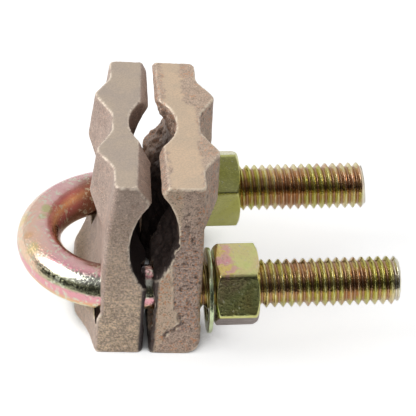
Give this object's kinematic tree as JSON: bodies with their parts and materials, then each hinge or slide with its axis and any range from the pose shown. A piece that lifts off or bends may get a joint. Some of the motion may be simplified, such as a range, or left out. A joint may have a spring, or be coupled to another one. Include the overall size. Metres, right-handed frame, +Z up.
{
  "type": "ground rod clamp",
  "caption": "Ground rod clamp: two cast bronze jaws on a plated U-bolt, drawn together by nuts to press a cable against a rod.",
  "frame": {"origin": "on the axis of the rod groove between the two jaws, at the foot of the jaws", "axes": "+X along the bolt legs from the bend towards the nuts, +Y across the legs from the near leg to the far leg, +Z up along the rod groove"},
  "size_m": [0.0723, 0.0472, 0.0382],
  "materials": {
    "cast_bronze_rear": "as-cast bronze with the top and near end ground",
    "cast_bronze_front": "as-cast bronze, pitted, with a ground top",
    "chromate_bolt": "glossy yellow chromate over zinc",
    "chromate_nut": "glossy yellow chromate over zinc",
    "chromate_washer": "glossy yellow chromate over zinc"
  },
  "bodies": {
    "bolt_and_rear_jaw": {"u_bolt": "chromate_bolt", "rear_jaw": "cast_bronze_rear"},
    "front_jaw": {"front_jaw": "cast_bronze_front", "near_washer": "chromate_washer", "far_washer": "chromate_washer"},
    "near_nut": {"near_nut": "chromate_nut"},
    "far_nut": {"far_nut": "chromate_nut"}
  },
  "joints": [
    {"name": "front_jaw_slide", "type": "slide", "parent": "bolt_and_rear_jaw", "child": "front_jaw", "axis": [0.9987, 0.0227, 0.0454], "range_m": [-0.0001, 0.024]},
    {"name": "near_nut_turn", "type": "hinge", "parent": "front_jaw", "child": "near_nut", "pos_m": [0.01647, -0.01506, 0.01217], "axis": [0.9987, 0.0227, 0.0454], "range_deg": [-23, 5445]},
    {"name": "far_nut_turn", "type": "hinge", "parent": "front_jaw", "child": "far_nut", "pos_m": [0.01512, 0.01592, 0.01214], "axis": [0.9987, 0.0227, 0.0454], "range_deg": [-23, 5445]}
  ],
  "couplings": [
    {"joint": "near_nut_turn", "follows": "front_jaw_slide", "rad_per_m": 3957.9},
    {"joint": "far_nut_turn", "follows": "front_jaw_slide", "rad_per_m": 3957.9}
  ]
}
